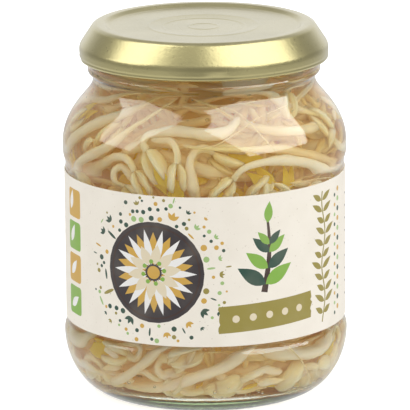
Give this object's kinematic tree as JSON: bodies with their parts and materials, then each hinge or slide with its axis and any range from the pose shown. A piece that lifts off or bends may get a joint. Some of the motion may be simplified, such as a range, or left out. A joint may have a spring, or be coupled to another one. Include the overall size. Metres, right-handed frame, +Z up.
{
  "type": "jar of bean sprouts",
  "caption": "Round glass preserve jar of mung bean sprouts in brine, with a gold twist-off lid and a wrap-round paper label.",
  "frame": {"origin": "centre of the ring that the jar stands on, at the surface under it", "axes": "+Z up along the jar's axis, -Y out of the middle of the label's front, +X to the right of someone who faces it"},
  "size_m": [0.0794, 0.0794, 0.1038],
  "materials": {
    "glass": "clear",
    "lid": "satin gold lacquer",
    "sealing_ring": "matt",
    "label": "satin",
    "brine": "clear",
    "inner_sprouts": "wet",
    "sprouts": "wet"
  },
  "bodies": {
    "jar": {"glass_jar": "glass", "label": "label", "brine": "brine", "inner_sprouts": "inner_sprouts", "sprout_01": "sprouts", "sprout_02": "sprouts", "sprout_03": "sprouts", "sprout_04": "sprouts", "sprout_05": "sprouts", "sprout_06": "sprouts", "sprout_07": "sprouts", "sprout_08": "sprouts", "sprout_09": "sprouts", "sprout_10": "sprouts", "sprout_11": "sprouts", "sprout_12": "sprouts", "sprout_13": "sprouts", "sprout_14": "sprouts", "sprout_15": "sprouts", "sprout_16": "sprouts", "sprout_17": "sprouts", "sprout_18": "sprouts", "sprout_19": "sprouts", "sprout_20": "sprouts", "sprout_21": "sprouts", "sprout_22": "sprouts", "sprout_23": "sprouts", "sprout_24": "sprouts", "sprout_25": "sprouts", "sprout_26": "sprouts", "sprout_27": "sprouts", "sprout_28": "sprouts", "sprout_29": "sprouts", "sprout_30": "sprouts", "sprout_31": "sprouts", "sprout_32": "sprouts", "sprout_33": "sprouts", "sprout_34": "sprouts", "sprout_35": "sprouts", "sprout_36": "sprouts", "sprout_37": "sprouts", "sprout_38": "sprouts", "sprout_39": "sprouts", "sprout_40": "sprouts", "sprout_41": "sprouts", "sprout_42": "sprouts", "sprout_43": "sprouts", "sprout_44": "sprouts", "sprout_45": "sprouts", "sprout_46": "sprouts", "sprout_47": "sprouts", "sprout_48": "sprouts", "sprout_49": "sprouts", "sprout_50": "sprouts"},
    "lid": {"lid": "lid", "sealing_ring": "sealing_ring"}
  },
  "joints": [
    {"name": "lid_turn", "type": "hinge", "parent": "jar", "child": "lid", "pos_m": [0, 0, 0.0985], "axis": [0, 0, 1], "range_deg": [0, 70]}
  ]
}
